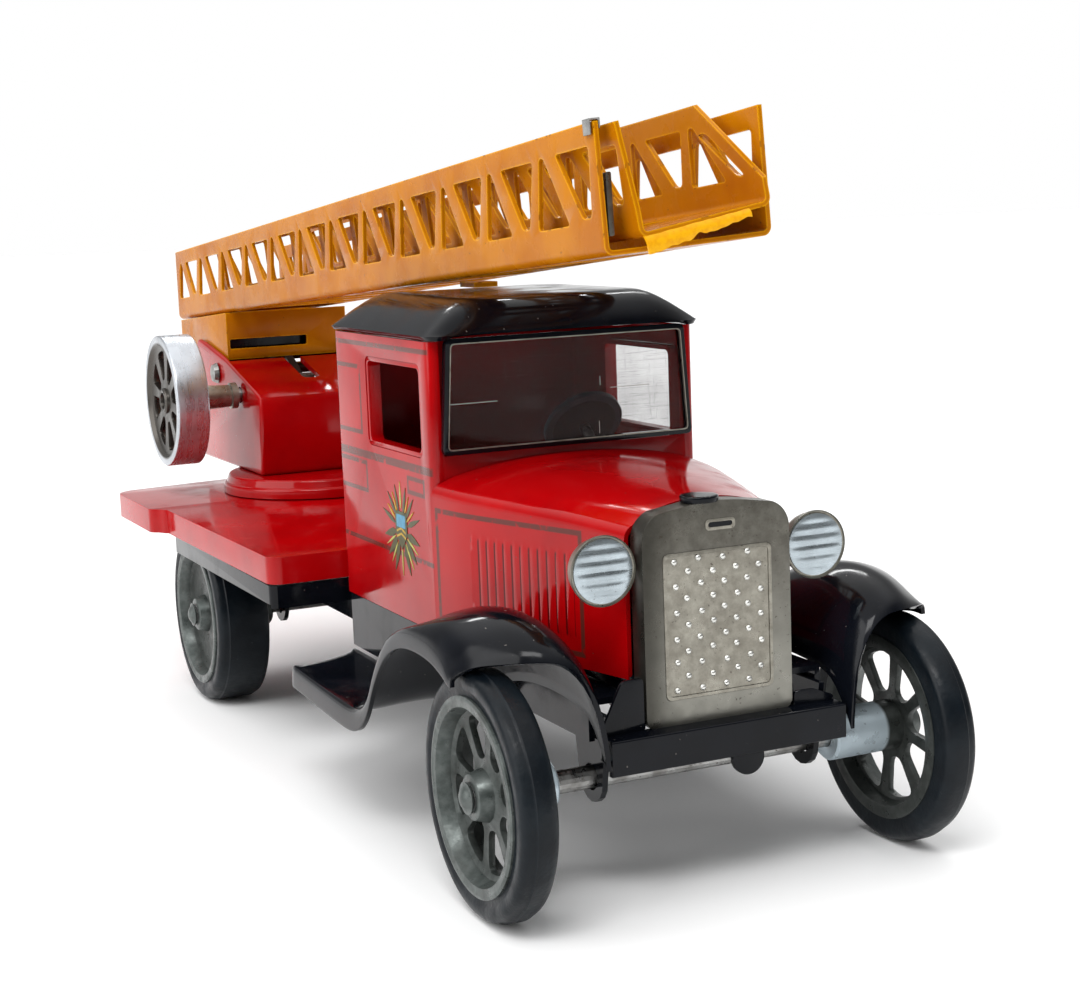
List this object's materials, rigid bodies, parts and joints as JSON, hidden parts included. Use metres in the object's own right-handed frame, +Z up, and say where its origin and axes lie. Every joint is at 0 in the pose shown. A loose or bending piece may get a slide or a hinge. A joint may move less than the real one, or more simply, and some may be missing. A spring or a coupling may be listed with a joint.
{
  "type": "toy fire engine",
  "caption": "Pressed-tin toy fire engine with cab, rear platform and a turntable ladder that swings, tilts by a handwheel and slides out.",
  "frame": {"origin": "centre of the bounding box's bottom face, on the ground between the axles", "axes": "+X to the vehicle's left, -Y towards the nose, +Z up"},
  "size_m": [0.092, 0.2771, 0.1255],
  "materials": {
    "red_paint": "glossy red lacquer",
    "black_paint": "glossy black lacquer",
    "yellow_paint": "semi-gloss golden yellow paint",
    "dull_tin": "dull mottled bare tin",
    "bright_tin": "pale satin metal",
    "rim_grey": "satin grey-green",
    "tyre_rubber": "satin black rubber",
    "steel": "bare steel wire and plate",
    "window_clear": "clear celluloid sheet",
    "screen_trim": "glossy black trim"
  },
  "bodies": {
    "body": {"chassis_frame": "black_paint", "front_ear_right": "black_paint", "front_ear_left": "black_paint", "rear_ear_right": "black_paint", "rear_ear_left": "black_paint", "front_apron": "black_paint", "mudguard_right": "black_paint", "mudguard_left": "black_paint", "valance_right": "black_paint", "valance_left": "black_paint", "headlight_shell_right": "bright_tin", "headlight_shell_left": "bright_tin", "headlight_lens_right": "bright_tin", "headlight_lens_left": "bright_tin", "headlight_stay_right": "black_paint", "headlight_stay_left": "black_paint", "cab_floor": "black_paint", "bed_platform": "red_paint", "bed_tray": "black_paint", "cab_shell": "red_paint", "cab_roof": "black_paint", "windshield_frame": "screen_trim", "windshield_pane": "window_clear", "hood": "red_paint", "radiator_shell": "dull_tin", "radiator_core": "dull_tin", "radiator_cap": "dull_tin", "steering_bush": "steel", "turntable_collar": "red_paint", "turntable_rivet": "steel"},
    "front_wheels": {"front_axle": "steel", "front_tyre_right": "tyre_rubber", "front_rim_right": "rim_grey", "front_cap_right": "bright_tin", "front_tyre_left": "tyre_rubber", "front_rim_left": "rim_grey", "front_cap_left": "bright_tin"},
    "rear_wheels": {"rear_axle": "steel", "rear_tyre_right": "tyre_rubber", "rear_rim_right": "rim_grey", "rear_cap_right": "bright_tin", "rear_tyre_left": "tyre_rubber", "rear_rim_left": "rim_grey", "rear_cap_left": "bright_tin"},
    "steering": {"steering_wheel": "bright_tin", "steering_column": "steel"},
    "turntable": {"turntable_housing": "red_paint", "hinge_pin": "steel"},
    "winding": {"handwheel": "bright_tin", "handwheel_shaft": "steel", "drive_pinion": "steel"},
    "lower_ladder": {"ladder_cradle": "yellow_paint", "elevation_sector": "steel", "ladder_lower": "yellow_paint", "ladder_foot": "yellow_paint", "ladder_clip": "steel", "ladder_stop": "steel"},
    "upper_ladder": {"ladder_upper": "yellow_paint"}
  },
  "joints": [
    {"name": "front_axle_spin", "type": "hinge", "parent": "body", "child": "front_wheels", "pos_m": [0, -0.1185, 0.02], "axis": [1, 0, 0], "continuous": true},
    {"name": "rear_axle_spin", "type": "hinge", "parent": "body", "child": "rear_wheels", "pos_m": [0, 0.044, 0.02], "axis": [1, 0, 0], "continuous": true},
    {"name": "steering_spin", "type": "hinge", "parent": "body", "child": "steering", "pos_m": [0.0104, -0.058, 0.0688], "axis": [0, 0.788, 0.6157], "continuous": true},
    {"name": "turntable_spin", "type": "hinge", "parent": "body", "child": "turntable", "pos_m": [0, 0.0685, 0.0482], "axis": [0, 0, 1], "continuous": true},
    {"name": "ladder_elevation", "type": "hinge", "parent": "turntable", "child": "lower_ladder", "pos_m": [0, 0.0955, 0.07077], "axis": [-1, 0, 0], "range_deg": [0, 50]},
    {"name": "handwheel_spin", "type": "hinge", "parent": "turntable", "child": "winding", "pos_m": [0, 0.0765, 0.0665], "axis": [1, 0, 0], "range_deg": [0, 187.5]},
    {"name": "ladder_slide", "type": "slide", "parent": "lower_ladder", "child": "upper_ladder", "axis": [0, -0.9969, 0.0792], "range_m": [0, 0.15]}
  ],
  "couplings": [
    {"joint": "handwheel_spin", "follows": "ladder_elevation", "ratio": 3.75}
  ]
}
